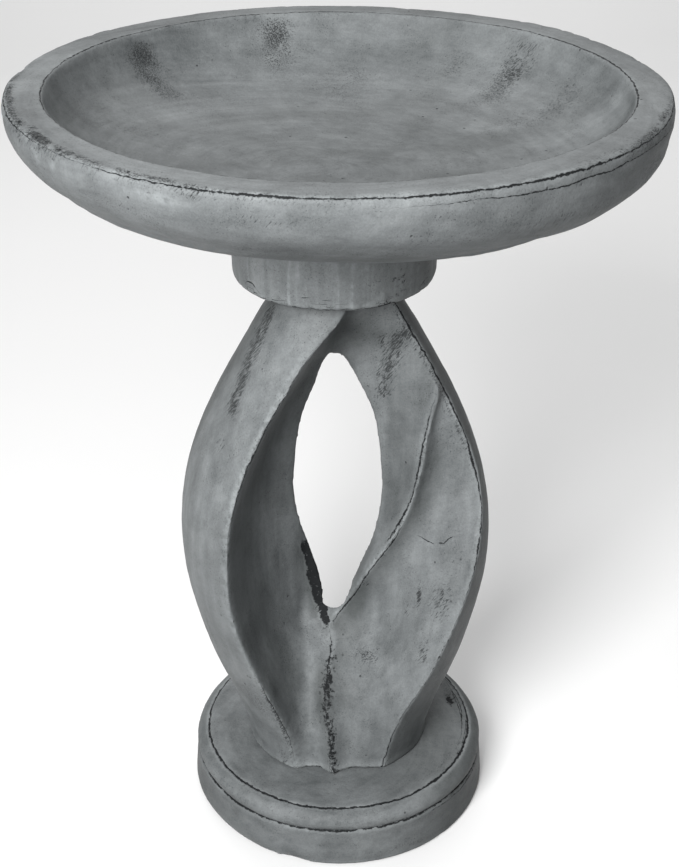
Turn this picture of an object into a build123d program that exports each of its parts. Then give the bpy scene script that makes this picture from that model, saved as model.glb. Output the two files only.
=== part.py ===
"""Garden bird bath: a dished bowl that lifts off a collar, an openwork column of two twisted leaves and a
moulded plinth, all cast in concrete, with the steel, sleeves and pads that hold the castings together.

Frame: origin on the ground at the centre of the plinth, +Z up, -Y the side that shows the window squarely.
The column repeats itself every half turn about Z. Lengths are millimetres, azimuths are degrees from -Y
towards +X.
"""

import os
from math import cos, radians, sin, sqrt

from build123d import *

# ---------------------------------------------------------------- driving dimensions
TOTAL_HEIGHT = 610.0
HALF_TURN = 180.0

PLINTH_HEIGHT = 50.7
PLINTH_FOOT_RADIUS = 124.0
PLINTH_FOOT_ROUND = 2.0
PLINTH_BAND_RADIUS = 121.6  # top of the upright band
PLINTH_BAND_HEIGHT = 34.2
PLINTH_LEDGE_RADIUS = 119.8  # small step between the band and the round moulding
PLINTH_MOULDING_BULGE = (119.6, 45.0)  # a point on the moulding, (radius, height)
PLINTH_DISC_RADIUS = 111.2
PLINTH_DISC_STEP = 0.8

MORTAR_BED = 2.0

COLLAR_BOTTOM = 469.0
COLLAR_TOP = 516.0
COLLAR_LOWER_RADIUS = 74.4
COLLAR_UPPER_RADIUS = 75.6
COLLAR_LOWER_ROUND = 3.5
COLLAR_UPPER_ROUND = 2.0

PAD_THICKNESS = 1.5
PAD_RADIUS = 12.5
PAD_CIRCLE_RADIUS = 54.0
PAD_COUNT = 3

BOWL_BOTTOM = COLLAR_TOP + PAD_THICKNESS
BOWL_RIM_RADIUS = 227.5
BOWL_MOUTH_RADIUS = 202.0
BOWL_SEAT_RADIUS = 84.0
BOWL_FLOOR = 552.0
BOWL_RIM_ROUND = 1.5
# The bowl's outside and inside, as (radius, height), from the seat up and from the mouth down.
BOWL_OUTSIDE = [(110, 523), (139, 532), (169.5, 544), (196, 556), (213, 568.5), (222.5, 580), (227, 592), (228.7, 602)]
BOWL_INSIDE = [(197, 598), (186, 583), (165, 569), (130, 559.5), (80, 554)]

PIN_RADIUS = 8.5
PIN_BOTTOM = 480.0
PIN_TOP = 536.0
PIN_CHAMFER = 1.2
SLEEVE_CLEARANCE = 0.5
SLEEVE_WALL = 2.0
SLEEVE_TOP = 540.0
SLEEVE_RADIUS = PIN_RADIUS + SLEEVE_CLEARANCE + SLEEVE_WALL

BAR_RADIUS = 4.0
# A reinforcing bar through the right-hand leaf: (height, radius, azimuth).
BAR_PATH = [(20, 56, 98), (60, 58, 98), (150, 70, 98), (240, 80, 98), (330, 70, 102), (400, 48, 110), (445, 33, 114), (500, 30, 114)]
HOOP_RADIUS = 2.5
PLINTH_HOOP = (100.0, 18.0)  # radius and height
BOWL_HOOP = (214.0, 595.0)

# ---------------------------------------------------------------- the column's shape
COLUMN_BOTTOM = PLINTH_HEIGHT
COLUMN_TOP = COLLAR_BOTTOM

# The egg that the leaves are carved from, (height, radius). It runs on past both ends of the column.
EGG = [
    (40, 72.5),
    (60, 75.5),
    (92, 84),
    (140, 102),
    (190, 115),
    (240, 122),
    (290, 119),
    (340, 104),
    (390, 81),
    (430, 61),
    (465, 46),
    (485, 42),
]

# Feature lines of one front, as (height, azimuth) on the egg: the leaf on the left ends at the left arris
# and the leaf on the right at the right arris.
LEFT_ARRIS = [
    (40, -27),
    (90, -28),
    (140, -31),
    (190, -38),
    (250, -41),
    (310, -41),
    (360, -36),
    (400, -27),
    (430, -15),
    (450, 4),
    (490, 28),
]
RIGHT_ARRIS = [(40, 30), (110, 34), (150, 38), (205, 49), (254, 60), (305, 69), (350, 71), (400, 70), (430, 67), (490, 58)]

# The sinuous ridge, as (height, x, y). It leaves the right arris, dips back to the window's lower end and
# comes forward again down to the foot.
RIDGE = [
    (40, -3, -73),
    (60, -4, -73),
    (98, -8, -67),
    (113, -10, -57),
    (128, -8, -43),
    (140, -5, -26),
    (155, 1, -10),
    (170, 6, -4),
    (190, 14, -10),
    (216, 24, -22),
    (234, 33, -27),
    (258, 47, -30),
    (283, 58, -29),
    (312, 65, -30),
    (345, 69, -32),
    (377, 75, -34),
]
RIDGE_TOP = 386.0  # above this the ridge runs along the right arris
RIDGE_TOP_INSET = 5.0

# The bottom of the hollow between the leaves, as (height, x of its left edge, x of its right edge, y). Where
# y is above zero the hollows of both fronts meet, and these edges are the sides of the window.
FLOOR = [
    (40, -17, -13, -63),
    (75, -24, -20, -61),
    (100, -27, -22, -56),
    (120, -27, -21, -45),
    (138, -26, -17, -28),
    (156, -26, -10, -4),
    (174, -26, -3, 4),
    (195, -26, 5, 5),
    (210, -26, 11, 5),
    (225, -28, 19, 5),
    (245, -30, 27, 4),
    (275, -31, 31, 4),
    (300, -30, 30, 4),
    (330, -27, 27, 4),
    (360, -21, 20, 4),
    (382, -14, 12, 4),
    (394, -9, 7, 3),
    (403, -4, 4, -1),
    (425, 3, 11, -14),
    (450, 11, 19, -24),
    (490, 16, 23, -24),
]

# How deep the scoop lies under the straight line between the ridge and the right arris.
SCOOP_DEPTH = [(40, 4), (80, 7), (120, 10), (160, 14), (200, 15), (240, 14), (300, 12), (340, 8), (370, 4), (386, 0.6), (490, 0.5)]
SCOOP_DEEPEST_SHARE = 0.34  # where the scoop is deepest, from the ridge to the right arris
LEFT_WALL_HOLLOW = 0.09  # how far the walls of the hollow bend, as a share of their width
RIGHT_WALL_HOLLOW = 0.05

CUTTER_HEIGHTS = [36, 54, 75, 98, 120, 140, 158, 176, 198, 225, 260, 300, 340, 366, 384, 402, 422, 442, 465, 490]
CUTTER_REACH = 28.0  # how far the cutter's walls run on outside the egg


def smooth(line, height, item=1):
    """The value of a feature line at a height, on a curve that never overshoots its points."""
    heights = [point[0] for point in line]
    values = [point[item] for point in line]
    if height <= heights[0]:
        return values[0]
    if height >= heights[-1]:
        return values[-1]
    steps = [(b - a) / (k - h) for a, b, h, k in zip(values, values[1:], heights, heights[1:])]
    slopes = [steps[0]]
    for before, after in zip(steps, steps[1:]):
        slopes.append(0 if before * after <= 0 else 2 * before * after / (before + after))
    slopes.append(steps[-1])
    i = max(k for k in range(len(heights) - 1) if heights[k] <= height)
    span = heights[i + 1] - heights[i]
    t = (height - heights[i]) / span
    return (
        values[i] * (1 + 2 * t) * (1 - t) ** 2
        + values[i + 1] * t * t * (3 - 2 * t)
        + slopes[i] * span * t * (1 - t) ** 2
        - slopes[i + 1] * span * t * t * (1 - t)
    )


def at_azimuth(radius, azimuth):
    """The point (x, y) at a radius and an azimuth."""
    return (radius * sin(radians(azimuth)), -radius * cos(radians(azimuth)))


def between(a, b, share, sideways=0.0):
    """The point a share of the way from a to b, moved sideways, to the left of that direction."""
    dx, dy = b[0] - a[0], b[1] - a[1]
    length = sqrt(dx * dx + dy * dy)
    return (a[0] + dx * share - dy / length * sideways, a[1] + dy * share + dx / length * sideways)


def distance(a, b):
    return sqrt((b[0] - a[0]) ** 2 + (b[1] - a[1]) ** 2)


def hollow_section(height):
    """One level outline of the cutter that hollows out one front of the egg."""
    radius = smooth(EGG, height)
    left, right = smooth(LEFT_ARRIS, height), smooth(RIGHT_ARRIS, height)
    lip_left, lip_right = at_azimuth(radius, left), at_azimuth(radius, right)
    depth = smooth(FLOOR, height, 3)
    floor_left = (smooth(FLOOR, height, 1), depth)
    floor_right = (smooth(FLOOR, height, 2), depth)
    if height < RIDGE_TOP:
        ridge = (smooth(RIDGE, height, 1), smooth(RIDGE, height, 2))
    else:
        ridge = between(lip_right, floor_right, RIDGE_TOP_INSET / distance(lip_right, floor_right))
    wall_left = distance(lip_left, floor_left) * LEFT_WALL_HOLLOW
    wall_right = distance(floor_right, ridge) * RIGHT_WALL_HOLLOW
    scoop = smooth(SCOOP_DEPTH, height)
    left_middle = between(lip_left, floor_left, 0.5, wall_left)
    right_middle = between(floor_right, ridge, 0.5, wall_right)
    scoop_low = between(ridge, lip_right, SCOOP_DEEPEST_SHARE, scoop)
    scoop_high = between(ridge, lip_right, 0.68, scoop * 0.62)
    out_left = between(lip_left, left_middle, -CUTTER_REACH / distance(lip_left, left_middle))
    out_right = between(lip_right, scoop_high, -CUTTER_REACH / distance(lip_right, scoop_high))
    with BuildSketch(Plane.XY.offset(height)) as section:
        with BuildLine():
            Spline(out_left, lip_left, left_middle, floor_left)
            Line(floor_left, floor_right)
            Spline(floor_right, right_middle, ridge)
            Spline(ridge, scoop_low, scoop_high, lip_right, out_right)
            ThreePointArc(out_right, at_azimuth(radius + CUTTER_REACH, (left + right) / 2), out_left)
        make_face()
    return section.sketch.face()


def slab(low, high):
    """A wide flat box between two heights."""
    with BuildPart(mode=Mode.PRIVATE) as box:
        with Locations((0, 0, low)):
            Box(600, 600, high - low, align=(Align.CENTER, Align.CENTER, Align.MIN))
    return box.part


def closed_tube(low, high, closed_at_top):
    """A steel sleeve with one closed end."""
    bore_low = low if closed_at_top else low + SLEEVE_WALL
    bore_high = high - SLEEVE_WALL if closed_at_top else high
    with BuildPart(mode=Mode.PRIVATE) as tube:
        with Locations((0, 0, low)):
            Cylinder(SLEEVE_RADIUS, high - low, align=(Align.CENTER, Align.CENTER, Align.MIN))
        with Locations((0, 0, bore_low)):
            Cylinder(
                SLEEVE_RADIUS - SLEEVE_WALL,
                bore_high - bore_low,
                align=(Align.CENTER, Align.CENTER, Align.MIN),
                mode=Mode.SUBTRACT,
            )
    return tube.part


# ---------------------------------------------------------------- reinforcement
with BuildPart() as bar_right:
    with BuildLine() as bar_line:
        Spline([(*at_azimuth(radius, azimuth), height) for height, radius, azimuth in BAR_PATH])
    with BuildSketch(Plane(origin=bar_line.line @ 0, z_dir=bar_line.line % 0)):
        Circle(BAR_RADIUS)
    sweep(path=bar_line.line)
bar_right.part.label = "bar_right"

with BuildPart() as bar_left:
    add(Rot(0, 0, HALF_TURN) * bar_right.part)
bar_left.part.label = "bar_left"

with BuildPart() as plinth_hoop:
    with Locations((0, 0, PLINTH_HOOP[1])):
        Torus(PLINTH_HOOP[0], HOOP_RADIUS)
plinth_hoop.part.label = "plinth_hoop"

with BuildPart() as bowl_hoop:
    with Locations((0, 0, BOWL_HOOP[1])):
        Torus(BOWL_HOOP[0], HOOP_RADIUS)
bowl_hoop.part.label = "bowl_hoop"

# ---------------------------------------------------------------- locating pin and its sleeves
with BuildPart() as sleeve_lower:
    add(closed_tube(PIN_BOTTOM - SLEEVE_WALL, COLLAR_TOP, False))
sleeve_lower.part.label = "sleeve_lower"

with BuildPart() as sleeve_upper:
    add(closed_tube(BOWL_BOTTOM, SLEEVE_TOP, True))
sleeve_upper.part.label = "sleeve_upper"

with BuildPart() as locating_pin:
    with Locations((0, 0, PIN_BOTTOM)):
        Cylinder(PIN_RADIUS, PIN_TOP - PIN_BOTTOM, align=(Align.CENTER, Align.CENTER, Align.MIN))
    chamfer(locating_pin.edges().filter_by(GeomType.CIRCLE), PIN_CHAMFER)
locating_pin.part.label = "locating_pin"

# ---------------------------------------------------------------- column and its mortar beds
with BuildPart() as hollow_cutter:
    loft(sections=[hollow_section(height) for height in CUTTER_HEIGHTS])

with BuildPart() as leaves:
    with BuildSketch(Plane.XZ):
        with BuildLine():
            Line((0, EGG[0][0]), (EGG[0][1], EGG[0][0]))
            Spline([(radius, height) for height, radius in EGG])
            Line((EGG[-1][1], EGG[-1][0]), (0, EGG[-1][0]))
            Line((0, EGG[-1][0]), (0, EGG[0][0]))
        make_face()
    revolve(axis=Axis.Z)
    add([hollow_cutter.part, Rot(0, 0, HALF_TURN) * hollow_cutter.part], mode=Mode.SUBTRACT)
    add([bar_left.part, bar_right.part], mode=Mode.SUBTRACT)

with BuildPart() as leaf_column:
    add(leaves.part)
    add(slab(COLUMN_BOTTOM + MORTAR_BED, COLUMN_TOP - MORTAR_BED), mode=Mode.INTERSECT)
leaf_column.part.label = "leaf_column"

with BuildPart() as mortar_lower:
    add(leaves.part)
    add(slab(COLUMN_BOTTOM, COLUMN_BOTTOM + MORTAR_BED), mode=Mode.INTERSECT)
mortar_lower.part.label = "mortar_lower"

with BuildPart() as mortar_upper:
    add(leaves.part)
    add(slab(COLUMN_TOP - MORTAR_BED, COLUMN_TOP), mode=Mode.INTERSECT)
mortar_upper.part.label = "mortar_upper"

# ---------------------------------------------------------------- plinth
with BuildPart() as plinth:
    with BuildSketch(Plane.XZ):
        with BuildLine():
            Line((0, 0), (PLINTH_FOOT_RADIUS, 0))
            Line((PLINTH_FOOT_RADIUS, 0), (PLINTH_BAND_RADIUS, PLINTH_BAND_HEIGHT))
            Line((PLINTH_BAND_RADIUS, PLINTH_BAND_HEIGHT), (PLINTH_LEDGE_RADIUS, PLINTH_BAND_HEIGHT + 0.4))
            ThreePointArc(
                (PLINTH_LEDGE_RADIUS, PLINTH_BAND_HEIGHT + 0.4),
                PLINTH_MOULDING_BULGE,
                (PLINTH_DISC_RADIUS + 0.6, PLINTH_HEIGHT - PLINTH_DISC_STEP),
            )
            Line((PLINTH_DISC_RADIUS + 0.6, PLINTH_HEIGHT - PLINTH_DISC_STEP), (PLINTH_DISC_RADIUS, PLINTH_HEIGHT))
            Line((PLINTH_DISC_RADIUS, PLINTH_HEIGHT), (0, PLINTH_HEIGHT))
            Line((0, PLINTH_HEIGHT), (0, 0))
        make_face()
    revolve(axis=Axis.Z)
    fillet(plinth.edges().group_by(Axis.Z)[0], PLINTH_FOOT_ROUND)
    add([bar_left.part, bar_right.part, plinth_hoop.part], mode=Mode.SUBTRACT)
plinth.part.label = "plinth"

# ---------------------------------------------------------------- collar and pads
with BuildPart() as collar:
    with BuildSketch(Plane.XZ):
        with BuildLine():
            Polyline(
                (0, COLLAR_BOTTOM),
                (COLLAR_LOWER_RADIUS, COLLAR_BOTTOM),
                (COLLAR_UPPER_RADIUS, COLLAR_TOP),
                (0, COLLAR_TOP),
                close=True,
            )
        make_face()
    revolve(axis=Axis.Z)
    fillet(collar.edges().filter_by(GeomType.CIRCLE).group_by(Axis.Z)[0], COLLAR_LOWER_ROUND)
    fillet(collar.edges().filter_by(GeomType.CIRCLE).group_by(Axis.Z)[-1], COLLAR_UPPER_ROUND)
    with Locations((0, 0, COLLAR_TOP)):
        Cylinder(
            SLEEVE_RADIUS,
            COLLAR_TOP - PIN_BOTTOM + SLEEVE_WALL,
            align=(Align.CENTER, Align.CENTER, Align.MAX),
            mode=Mode.SUBTRACT,
        )
    add([bar_left.part, bar_right.part], mode=Mode.SUBTRACT)
collar.part.label = "collar"

pads = []
for number in range(PAD_COUNT):
    with BuildPart() as pad:
        with Locations((*at_azimuth(PAD_CIRCLE_RADIUS, 360 / PAD_COUNT * number), COLLAR_TOP)):
            Cylinder(PAD_RADIUS, PAD_THICKNESS, align=(Align.CENTER, Align.CENTER, Align.MIN))
    pad.part.label = f"pad_{number + 1}"
    pads.append(pad.part)

# ---------------------------------------------------------------- bowl
with BuildPart() as bowl:
    with BuildSketch(Plane.XZ):
        with BuildLine():
            Line((0, BOWL_BOTTOM), (BOWL_SEAT_RADIUS, BOWL_BOTTOM))
            Spline([(BOWL_SEAT_RADIUS, BOWL_BOTTOM), *BOWL_OUTSIDE, (BOWL_RIM_RADIUS, TOTAL_HEIGHT)])
            Line((BOWL_RIM_RADIUS, TOTAL_HEIGHT), (BOWL_MOUTH_RADIUS, TOTAL_HEIGHT))
            Spline(
                [(BOWL_MOUTH_RADIUS, TOTAL_HEIGHT), *BOWL_INSIDE, (0, BOWL_FLOOR)],
                tangents=[(-0.25, -1), (-1, 0)],
            )
            Line((0, BOWL_FLOOR), (0, BOWL_BOTTOM))
        make_face()
    revolve(axis=Axis.Z)
    fillet(bowl.edges().filter_by(GeomType.CIRCLE).group_by(Axis.Z)[-1], BOWL_RIM_ROUND)
    with Locations((0, 0, BOWL_BOTTOM)):
        Cylinder(
            SLEEVE_RADIUS,
            SLEEVE_TOP - BOWL_BOTTOM,
            align=(Align.CENTER, Align.CENTER, Align.MIN),
            mode=Mode.SUBTRACT,
        )
    add(bowl_hoop.part, mode=Mode.SUBTRACT)
bowl.part.label = "bowl"

# ---------------------------------------------------------------- write every piece
pieces = [
    plinth.part,
    plinth_hoop.part,
    mortar_lower.part,
    leaf_column.part,
    bar_left.part,
    bar_right.part,
    mortar_upper.part,
    collar.part,
    sleeve_lower.part,
    locating_pin.part,
    sleeve_upper.part,
    bowl.part,
    bowl_hoop.part,
    *pads,
]
os.makedirs("parts", exist_ok=True)
for piece in pieces:
    print(piece.label, len(piece.solids()), piece.is_valid, round(piece.volume / 1000, 2), "cm3")
    export_step(piece, f"parts/{piece.label}.step")
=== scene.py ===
"""Garden bird bath in cast stone, painted grey and rubbed with black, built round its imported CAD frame."""

from math import cos, pi, radians, sin

import bmesh
import bpy
import numpy as np
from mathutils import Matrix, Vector


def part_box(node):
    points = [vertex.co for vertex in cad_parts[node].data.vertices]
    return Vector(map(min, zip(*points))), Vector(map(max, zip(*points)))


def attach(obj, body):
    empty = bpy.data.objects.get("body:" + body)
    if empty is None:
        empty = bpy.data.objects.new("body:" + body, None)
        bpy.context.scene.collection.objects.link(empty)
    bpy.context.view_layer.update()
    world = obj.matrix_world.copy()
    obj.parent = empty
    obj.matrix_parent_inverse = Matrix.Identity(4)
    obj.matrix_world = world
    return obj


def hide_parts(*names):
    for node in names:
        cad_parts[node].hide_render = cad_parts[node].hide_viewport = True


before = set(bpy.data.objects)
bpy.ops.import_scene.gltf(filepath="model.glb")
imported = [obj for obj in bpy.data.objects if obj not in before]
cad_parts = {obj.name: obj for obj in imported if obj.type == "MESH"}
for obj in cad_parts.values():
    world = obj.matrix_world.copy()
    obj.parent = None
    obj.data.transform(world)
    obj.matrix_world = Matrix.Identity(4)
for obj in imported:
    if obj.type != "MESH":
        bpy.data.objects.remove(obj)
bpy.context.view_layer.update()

MM = 0.001


# ------------------------------------------------------------------ numbers and curves, all in millimetres
def box_mm(node):
    """The lowest and highest corners of a CAD node."""
    return [np.array(corner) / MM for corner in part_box(node)]


def curve_through(points, step):
    """Points about step apart along a smooth curve through the given ones."""
    p = np.array(points, float)
    t = np.concatenate([[0], np.cumsum(np.linalg.norm(np.diff(p, axis=0), axis=1))])
    h = np.diff(t)
    n = len(p)
    system = np.eye(n)
    right = np.zeros_like(p)
    for i in range(1, n - 1):
        system[i, i - 1 : i + 2] = h[i - 1], 2 * (h[i - 1] + h[i]), h[i]
        right[i] = 6 * ((p[i + 1] - p[i]) / h[i] - (p[i] - p[i - 1]) / h[i - 1])
    bend = np.linalg.solve(system, right)
    at = np.linspace(0, t[-1], max(2, round(t[-1] / step) + 1))
    k = np.clip(np.searchsorted(t, at, side="right") - 1, 0, n - 2)
    a = (t[k + 1] - at)[:, None]
    b = (at - t[k])[:, None]
    s = h[k][:, None]
    return (
        (bend[k] * a**3 + bend[k + 1] * b**3) / (6 * s)
        + (p[k] / s - bend[k] * s / 6) * a
        + (p[k + 1] / s - bend[k + 1] * s / 6) * b
    )


def straight(a, b, step):
    """Points along a straight line, without its last one."""
    a, b = np.array(a, float), np.array(b, float)
    count = max(1, round(np.linalg.norm(b - a) / step))
    return a + (b - a) * np.arange(count)[:, None] / count


def ramp(low, high, value):
    """A smooth step from 0 at low to 1 at high."""
    t = np.clip((value - low) / (high - low), 0, 1)
    return t * t * (3 - 2 * t)


def bell(value, width):
    """1 at 0, falling away on both sides."""
    return np.exp(-((value / width) ** 2))


def polar(points):
    """Each point's radius, and its azimuth in degrees from the front towards +X."""
    return np.hypot(points[:, 0], points[:, 1]), np.degrees(np.arctan2(points[:, 0], -points[:, 1]))


def away(azimuth, centre):
    """Degrees between azimuths, from -180 to 180."""
    return (azimuth - centre + 180) % 360 - 180


# ------------------------------------------------------------------ noise on arrays of points
def hashed(cells, seed):
    """A repeatable number from -1 to 1 for each whole-number cell."""
    c = cells.astype(np.uint32)
    h = c[..., 0] * np.uint32(374761393) + c[..., 1] * np.uint32(668265263)
    h = h + c[..., 2] * np.uint32(2147483647)
    h = h + np.uint32(seed * 974711 & 0xFFFFFFFF)
    h = (h ^ (h >> np.uint32(13))) * np.uint32(1274126177)
    h = (h ^ (h >> np.uint32(15))) * np.uint32(2246822519)
    h = h ^ (h >> np.uint32(16))
    return h.astype(np.float64) / 2147483647.5 - 1.0


def noise(points, size, seed):
    """Smooth noise from -1 to 1 whose lumps are size across; size may be one number for each axis."""
    p = points / np.asarray(size, float)
    base = np.floor(p)
    t = p - base
    t = t * t * t * (t * (t * 6 - 15) + 10)
    cells = base.astype(np.int64)
    total = np.zeros(len(p))
    for corner in np.ndindex(2, 2, 2):
        weight = np.prod(np.where(corner, t, 1 - t), axis=1)
        total += weight * hashed(cells + np.array(corner), seed)
    return total


def layered(points, size, seed, octaves=3):
    """Noise with finer, weaker noise on top of it."""
    total = np.zeros(len(points))
    for k in range(octaves):
        total += noise(points, np.asarray(size, float) / 2**k, seed + 31 * k) / 2**k
    return total / 1.5


# ------------------------------------------------------------------ meshes
def new_piece(name, points, faces):
    """An object from points in millimetres."""
    mesh = bpy.data.meshes.new(name)
    mesh.from_pydata((np.asarray(points) * MM).tolist(), [], faces)
    mesh.update()
    piece = bpy.data.objects.new(name, mesh)
    bpy.context.scene.collection.objects.link(piece)
    mesh.polygons.foreach_set("use_smooth", np.ones(len(mesh.polygons), bool))
    return piece


def lathe(name, profile, sides):
    """A closed round piece. Its profile runs from the axis, outwards underneath, and back over the top."""
    rings = np.array(profile[1:-1], float)
    turn = 2 * pi * np.arange(sides) / sides
    points = np.empty((len(rings), sides, 3))
    points[..., 0] = rings[:, None, 0] * np.sin(turn)
    points[..., 1] = -rings[:, None, 0] * np.cos(turn)
    points[..., 2] = rings[:, None, 1]
    flat = points.reshape(-1, 3)
    low, high = len(flat), len(flat) + 1
    faces = []
    for i in range(len(rings) - 1):
        for j in range(sides):
            k = (j + 1) % sides
            faces.append((i * sides + j, i * sides + k, (i + 1) * sides + k, (i + 1) * sides + j))
    last = (len(rings) - 1) * sides
    for j in range(sides):
        k = (j + 1) % sides
        faces.append((low, k, j))
        faces.append((last + j, last + k, high))
    ends = np.array([(0, 0, profile[0][1]), (0, 0, profile[-1][1])], float)
    return new_piece(name, np.concatenate([flat, ends]), faces)


def points_of(piece):
    co = np.empty(len(piece.data.vertices) * 3, np.float32)
    piece.data.vertices.foreach_get("co", co)
    return co.reshape(-1, 3).astype(float) / MM


def normals_of(piece):
    no = np.empty(len(piece.data.vertices) * 3, np.float32)
    piece.data.vertices.foreach_get("normal", no)
    return no.reshape(-1, 3).astype(float)


def set_points(piece, points):
    piece.data.vertices.foreach_set("co", (points * MM).astype(np.float32).ravel())
    piece.data.update()


def push(piece, amount):
    """Moves every point along its normal."""
    set_points(piece, points_of(piece) + normals_of(piece) * amount[:, None])


def edges_of(piece):
    pairs = np.empty(len(piece.data.edges) * 2, np.int32)
    piece.data.edges.foreach_get("vertices", pairs)
    return pairs.reshape(-1, 2)


def blurred(values, pairs, rounds, share=1.0):
    """Values averaged with their neighbours, over and over; share says how much, point by point."""
    n = len(values)
    a, b = pairs[:, 0], pairs[:, 1]
    count = np.bincount(a, minlength=n) + np.bincount(b, minlength=n)
    out = values.astype(float).reshape(n, -1)
    keep = np.broadcast_to(0.5 * np.asarray(share, float), n)[:, None]
    for _ in range(rounds):
        total = np.stack([np.bincount(a, c[b], n) + np.bincount(b, c[a], n) for c in out.T], axis=1)
        out = out * (1 - keep) + total / count[:, None] * keep
    return out.reshape(values.shape)


def bulge(piece, rounds):
    """How far each point stands out of its surroundings, in millimetres; hollows are below zero."""
    points = points_of(piece)
    return -np.einsum("ij,ij->i", blurred(points, edges_of(piece), rounds) - points, normals_of(piece))


def paint(piece, name, values):
    """Stores one number from 0 to 1 for each point, which the materials read by that name."""
    layer = piece.data.attributes.new(name, "FLOAT", "POINT")
    layer.data.foreach_set("value", np.clip(values, 0, 1).astype(np.float32))


LINE_SPAN = 20.0  # the millimetres across a line that its stored number from 0 to 1 stands for


def draw_lines(piece, lines):
    """Stores a piece's thin broken lines, each given as every point's signed distance from it and its force.

    Black lies at 0 and a pale edge on the side above 0. Each point keeps the line that is nearest to it.
    """
    lines = [(distance, np.clip(force, 0, 1.2)) for distance, force in lines]
    ranked = np.stack([np.abs(distance) + 9 * (force < 0.08) for distance, force in lines])
    chosen = ranked.argmin(axis=0)
    distance = np.choose(chosen, [d for d, _ in lines])
    paint(piece, "line", 0.5 + distance / LINE_SPAN)
    paint(piece, "force", np.choose(chosen, [f for _, f in lines]) * ramp(9, 6, np.abs(distance)))


def remeshed(name, node, voxel, rounds, swell=1.3):
    """A copy of a CAD node in even faces, voxel millimetres across, a little smoothed.

    It is swollen while it is remeshed, so that its thin edges aren't lost.
    """
    source = bpy.data.objects.new(name + "_source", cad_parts[node].data.copy())
    bpy.context.scene.collection.objects.link(source)
    weld = bmesh.new()
    weld.from_mesh(source.data)
    bmesh.ops.remove_doubles(weld, verts=weld.verts, dist=0.02 * MM)
    weld.to_mesh(source.data)
    weld.free()
    push(source, np.full(len(source.data.vertices), swell))
    modifier = source.modifiers.new("remesh", "REMESH")
    modifier.mode = "VOXEL"
    modifier.voxel_size = voxel * MM
    graph = bpy.context.evaluated_depsgraph_get()
    mesh = bpy.data.meshes.new_from_object(source.evaluated_get(graph))
    mesh.materials.clear()
    mesh.name = name
    bpy.data.objects.remove(source)
    piece = bpy.data.objects.new(name, mesh)
    bpy.context.scene.collection.objects.link(piece)
    points, pairs = points_of(piece), edges_of(piece)
    for _ in range(rounds):  # smooths without shrinking
        points = blurred(points, pairs, 1)
        points = points + 0.53 * (points - blurred(points, pairs, 1))
    set_points(piece, points)
    mesh.polygons.foreach_set("use_smooth", np.ones(len(mesh.polygons), bool))
    return piece


# ------------------------------------------------------------------ camera, light and floor
CAMERA_PLACE = (0.0009, -1.030, 0.902)
CAMERA_TILT = 28.97  # degrees below the horizon
CAMERA_LENS = 62.99  # millimetres, on a sensor 36 mm wide

camera_data = bpy.data.cameras.new("camera")
camera_data.sensor_width = 36
camera_data.lens = CAMERA_LENS
camera = bpy.data.objects.new("camera", camera_data)
camera.location = CAMERA_PLACE
camera.rotation_euler = (radians(90 - CAMERA_TILT), 0, 0)
bpy.context.scene.collection.objects.link(camera)
bpy.context.scene.camera = camera
bpy.context.scene.view_settings.view_transform = "Standard"


def lamp(name, place, aim, size, power):
    data = bpy.data.lights.new(name, "AREA")
    data.shape = "RECTANGLE"
    data.size, data.size_y = size
    data.energy = power
    item = bpy.data.objects.new(name, data)
    item.location = place
    item.rotation_euler = (Vector(aim) - Vector(place)).to_track_quat("-Z", "Y").to_euler()
    bpy.context.scene.collection.objects.link(item)


lamp("key", (-0.68, -1.64, 1.36), (0, 0, 0.42), (0.9, 0.9), 61)
lamp("fill", (1.9, -1.2, 0.9), (0, 0, 0.35), (1.6, 1.6), 0.6)
lamp("back", (0.1, 1.9, 2.5), (0, 0.7, 0), (3.0, 1.8), 44)

world = bpy.data.worlds.new("world")
world.use_nodes = True
world.node_tree.nodes["Background"].inputs[0].default_value = (1.0, 1.0, 1.0, 1)
world.node_tree.nodes["Background"].inputs[1].default_value = 0.22
bpy.context.scene.world = world


def build_floor():
    """A wide pale floor that curves up into a backdrop far behind."""
    half_width = 4.0
    front, back = -3.0, 2.2  # where the flat part begins and ends
    bend, top = 1.2, 4.0  # the curve's radius and the backdrop's height
    rows = [(front, 0.0), (back, 0.0)]
    rows += [(back + bend * sin(a), bend - bend * cos(a)) for a in (radians(v) for v in range(10, 91, 10))]
    rows += [(back + bend, top)]
    points = [(x, y, z) for y, z in rows for x in (-half_width, half_width)]
    faces = [(2 * k, 2 * k + 1, 2 * k + 3, 2 * k + 2) for k in range(len(rows) - 1)]
    floor = new_piece("floor", np.array(points) / MM, faces)
    floor.visible_diffuse = False  # the floor throws no light up at the object
    return floor


floor = build_floor()


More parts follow.
